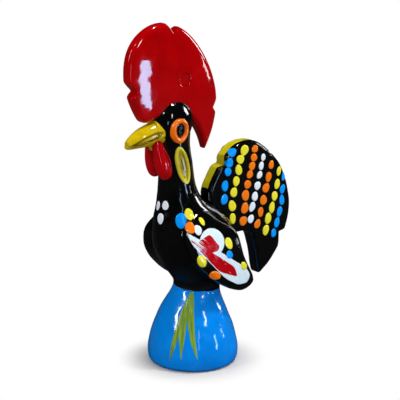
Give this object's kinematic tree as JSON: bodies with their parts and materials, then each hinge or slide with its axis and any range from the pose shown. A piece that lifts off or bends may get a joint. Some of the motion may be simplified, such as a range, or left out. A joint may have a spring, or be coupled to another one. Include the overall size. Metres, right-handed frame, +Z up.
{
  "type": "rooster of Barcelos",
  "caption": "Painted earthenware rooster with a tall notched comb, a lobed tail and pad wings on a hollow bell-shaped base, a free-standing folk ornament.",
  "frame": {"origin": "middle of the foot of the bell base, on the surface that it stands on", "axes": "-X is the way the rooster looks, -Y its left side, +Z up; the body's two shells meet on the plane y = 0"},
  "size_m": [0.1177, 0.053, 0.2008],
  "materials": {
    "base_blue": "gloss",
    "body_black": "gloss",
    "wing_black": "gloss",
    "tail_black": "gloss",
    "comb_red": "gloss",
    "wattle_red": "gloss",
    "beak_yellow": "gloss",
    "lobe_yellow": "gloss",
    "ring_orange": "gloss",
    "bead_black": "gloss"
  },
  "bodies": {
    "root": {"bell_base": "base_blue", "body_left": "body_black", "body_right": "body_black", "wing_left": "wing_black", "wing_right": "wing_black", "tail": "tail_black", "comb": "comb_red", "comb_plug": "comb_red", "wattle_left": "wattle_red", "wattle_right": "wattle_red", "beak_upper": "beak_yellow", "beak_lower": "beak_yellow", "ear_lobe_left": "lobe_yellow", "ear_lobe_right": "lobe_yellow", "eye_ring_left": "ring_orange", "eye_ring_right": "ring_orange", "eye_bead_left": "bead_black", "eye_bead_right": "bead_black"}
  },
  "joints": []
}
